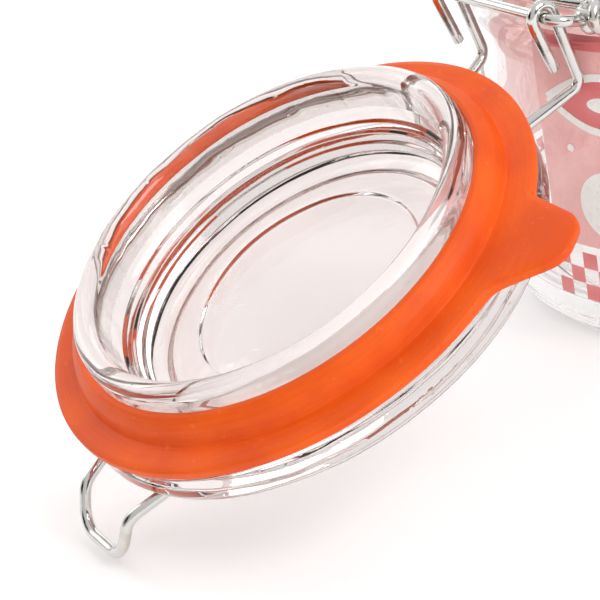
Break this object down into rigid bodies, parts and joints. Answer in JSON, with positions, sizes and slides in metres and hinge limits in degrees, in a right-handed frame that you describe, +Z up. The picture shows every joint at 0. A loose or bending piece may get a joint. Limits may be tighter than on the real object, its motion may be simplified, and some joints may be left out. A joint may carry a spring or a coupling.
{
  "type": "lidded glass canister",
  "caption": "Round glass storage canister with a wire-hinged glass lid, a rubber seal with a pull tab and a wire latch lever; lid shown swung open.",
  "frame": {"origin": "centre of the jar's foot ring, on the surface it stands on", "axes": "+Z up the jar's axis, +Y towards the hinge, X along the hinge axis"},
  "size_m": [0.1057, 0.2302, 0.0754],
  "materials": {
    "jar_glass": "clear pressed glass",
    "lid_glass": "clear pressed glass",
    "gasket_rubber": "soft orange rubber, satin",
    "wire_steel": "bright drawn steel wire"
  },
  "bodies": {
    "jar": {"jar_body": "jar_glass", "neck_ring": "wire_steel", "hinge_yoke": "wire_steel"},
    "lid": {"lid_glass": "lid_glass", "gasket": "gasket_rubber", "lid_wire": "wire_steel"},
    "lever": {"latch_lever": "wire_steel"}
  },
  "joints": [
    {"name": "lid_hinge", "type": "hinge", "parent": "jar", "child": "lid", "pos_m": [0, 0.0588, 0.0694], "axis": [1, 0, 0], "range_deg": [0, 203.5]},
    {"name": "lever_pivot", "type": "hinge", "parent": "jar", "child": "lever", "pos_m": [0, -0.0514, 0.0675], "axis": [1, 0, 0], "range_deg": [-90, 0]}
  ]
}
